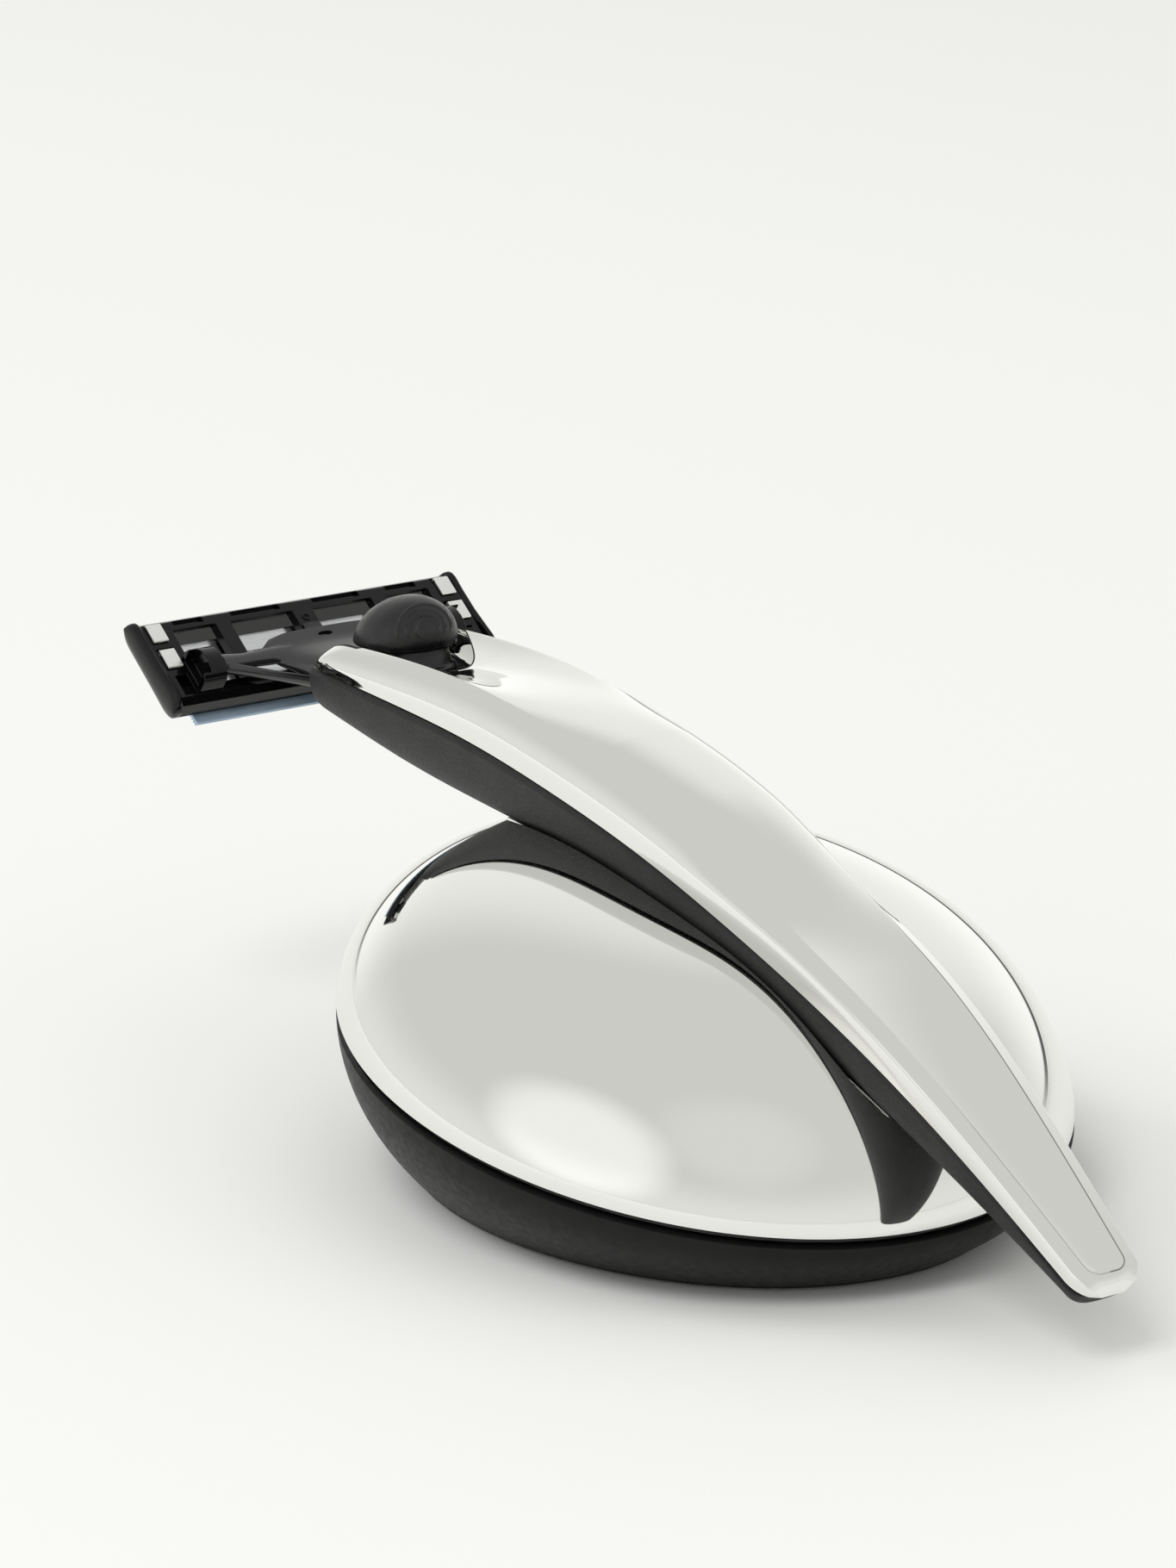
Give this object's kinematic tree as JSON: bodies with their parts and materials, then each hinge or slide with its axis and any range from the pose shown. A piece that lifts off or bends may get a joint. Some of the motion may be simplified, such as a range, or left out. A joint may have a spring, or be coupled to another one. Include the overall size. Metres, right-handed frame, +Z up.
{
  "type": "razor stand",
  "caption": "Weighted pebble stand with a cradle groove, holding a cartridge razor that lifts off it.",
  "frame": {"origin": "centre of the stand's foot, on the ground", "axes": "+Y along the groove towards the razor's head, +X to the right seen from the razor's tail, +Z up"},
  "size_m": [0.0698, 0.1372, 0.0491],
  "materials": {
    "cap_chrome": "mirror polished",
    "shell_chrome": "mirror polished",
    "seam_rubber": "matt",
    "base_plastic": "soft matt",
    "cast_weight": "as cast",
    "magnet_steel": "plated",
    "foot_rubber": "matt",
    "screw_steel": "machined",
    "spring_steel": "drawn wire",
    "grip_rubber": "soft matt",
    "button_plastic": "satin",
    "yoke_plastic": "gloss",
    "housing_plastic": "gloss",
    "blade_steel": "ground",
    "clip_metal": "satin",
    "guard_rubber": "soft",
    "strip_polymer": "smooth"
  },
  "bodies": {
    "stand": {"stand_cap": "cap_chrome", "rim_gasket": "seam_rubber", "stand_base": "base_plastic", "ballast_weight": "cast_weight", "holding_magnet": "magnet_steel", "foot_pad": "foot_rubber", "base_screw_1": "screw_steel", "base_screw_2": "screw_steel", "base_screw_3": "screw_steel"},
    "razor": {"handle_shell": "shell_chrome", "handle_grip": "grip_rubber", "handle_core": "cast_weight", "handle_screw_1": "screw_steel", "handle_screw_2": "screw_steel", "button_spring": "spring_steel"},
    "button": {"release_button": "button_plastic"},
    "connector": {"connector_yoke": "yoke_plastic", "return_tongue": "yoke_plastic"},
    "cartridge": {"cartridge_housing": "housing_plastic", "blade_1": "blade_steel", "blade_2": "blade_steel", "blade_3": "blade_steel", "clip_left": "clip_metal", "clip_right": "clip_metal", "guard_strip": "guard_rubber", "lubricating_strip": "strip_polymer"}
  },
  "joints": [
    {"name": "razor_lift", "type": "slide", "parent": "stand", "child": "razor", "axis": [0, 0, 1], "range_m": [0, 0.06]},
    {"name": "button_push", "type": "slide", "parent": "razor", "child": "button", "axis": [0, 1, 0], "range_m": [0, 0.003], "stiffness_N_per_m": 300, "springref_m": -0.001, "deforming": ["button_spring"]},
    {"name": "connector_release", "type": "slide", "parent": "razor", "child": "connector", "axis": [0, 1, 0], "range_m": [0, 0.02]},
    {"name": "cartridge_pivot", "type": "hinge", "parent": "connector", "child": "cartridge", "pos_m": [0, 0.06657, 0.04054], "axis": [1, 0, 0], "range_deg": [0, 30], "stiffness_Nm_per_rad": 0.02, "springref_deg": -8.59, "deforming": ["return_tongue"]}
  ]
}
